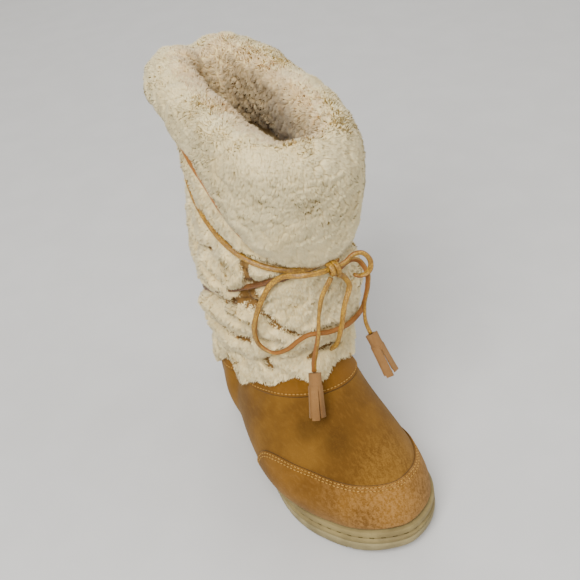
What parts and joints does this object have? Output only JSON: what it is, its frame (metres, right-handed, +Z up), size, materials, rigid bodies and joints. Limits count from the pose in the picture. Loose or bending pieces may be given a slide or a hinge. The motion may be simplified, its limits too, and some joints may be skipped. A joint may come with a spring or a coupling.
{
  "type": "mukluk boot",
  "caption": "Winter boot with a suede foot, rubber cup sole, sheepskin shaft with a turned-over cuff, and a lace wrapped round it and tied in a bow with tassels.",
  "frame": {"origin": "on the floor under the middle of the heel, on the heel's flat tread", "axes": "+Z up, toe towards -Y, +X towards the inner side of the foot, so the wearer's right is -X"},
  "size_m": [0.1377, 0.2901, 0.362],
  "materials": {
    "tread_rubber": "matt moulded tan rubber",
    "sidewall_rubber": "matt olive tan rubber with a stitched rim",
    "insole_felt": "fleece sock lining",
    "suede": "golden tan suede",
    "sheepskin": "clipped ivory sheepskin pile",
    "lace_leather": "golden waxed thong",
    "tassel_suede": "brown suede"
  },
  "bodies": {
    "root": {"outsole": "tread_rubber", "midsole": "sidewall_rubber", "insole": "insole_felt", "upper": "suede", "toe_cap": "suede", "ankle_band": "suede", "shaft": "sheepskin", "cuff": "sheepskin", "lace_wraps": "lace_leather", "bow_knot": "lace_leather", "left_loop": "lace_leather", "right_loop": "lace_leather", "short_end": "lace_leather", "first_cord": "lace_leather", "second_cord": "lace_leather", "first_tassel": "tassel_suede", "second_tassel": "tassel_suede"}
  },
  "joints": []
}
